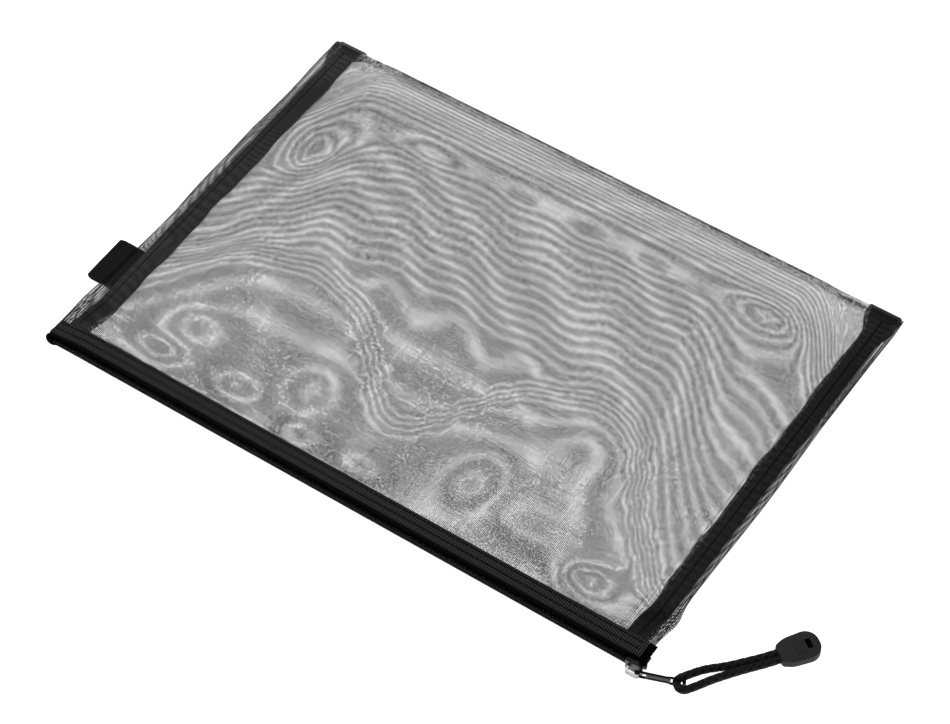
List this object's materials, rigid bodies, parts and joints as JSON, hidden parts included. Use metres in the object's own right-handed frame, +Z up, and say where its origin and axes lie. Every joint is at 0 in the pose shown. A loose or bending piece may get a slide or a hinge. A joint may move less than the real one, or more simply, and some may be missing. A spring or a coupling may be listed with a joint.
{
  "type": "document wallet",
  "caption": "Flat mesh document wallet with a zip along its front, bound side seams, a webbing side loop and a braided cord pull on the slider.",
  "frame": {"origin": "under the middle of the wallet, on the surface it lies on", "axes": "+X along the zip towards its closed end, +Y from the zip to the back fold, +Z up"},
  "size_m": [0.412, 0.2468, 0.0126],
  "materials": {
    "mesh": "open woven nylon mesh, black",
    "binding_tape": "woven polyester binding tape, black",
    "thread": "twisted polyester sewing thread, black",
    "zip_tape": "ribbed woven zip tape, black",
    "zip_coil": "nylon coil, black",
    "webbing": "woven webbing, black",
    "slider_metal": "nickel-plated zinc casting",
    "tab_metal": "nickel-plated zinc casting, darker panel",
    "cord": "braided polyester cord, black",
    "cord_end_plastic": "moulded soft plastic, matte black"
  },
  "bodies": {
    "wallet": {"mesh_body": "mesh", "left_seam_binding": "binding_tape", "right_seam_binding": "binding_tape", "left_seam_stitching": "thread", "right_seam_stitching": "thread", "zip_tape_upper": "zip_tape", "zip_tape_lower": "zip_tape", "zip_coil_upper": "zip_coil", "zip_coil_lower": "zip_coil", "zip_topstitch_upper": "thread", "zip_topstitch_lower": "thread", "side_loop": "webbing"},
    "slider": {"slider_body": "slider_metal"},
    "pull": {"pull_tab": "tab_metal"},
    "cord": {"pull_cord": "cord", "cord_end": "cord_end_plastic"}
  },
  "joints": [
    {"name": "slider_slide", "type": "slide", "parent": "wallet", "child": "slider", "axis": [-1, 0, 0], "range_m": [0, 0.3], "deforming": ["zip_coil_upper", "zip_coil_lower", "pull_cord"]},
    {"name": "pull_swing", "type": "hinge", "parent": "slider", "child": "pull", "pos_m": [0.1713, -0.1248, 0.0062], "axis": [0, 0, 1], "range_deg": [-165, 0]},
    {"name": "cord_swing", "type": "hinge", "parent": "pull", "child": "cord", "pos_m": [0.19216, -0.11721, 0.0062], "axis": [0, 0, 1], "range_deg": [-70.5, 0]}
  ],
  "couplings": [
    {"joint": "pull_swing", "follows": "slider_slide", "rad_per_m": -9.5702},
    {"joint": "cord_swing", "follows": "slider_slide", "rad_per_m": -4.0724}
  ]
}
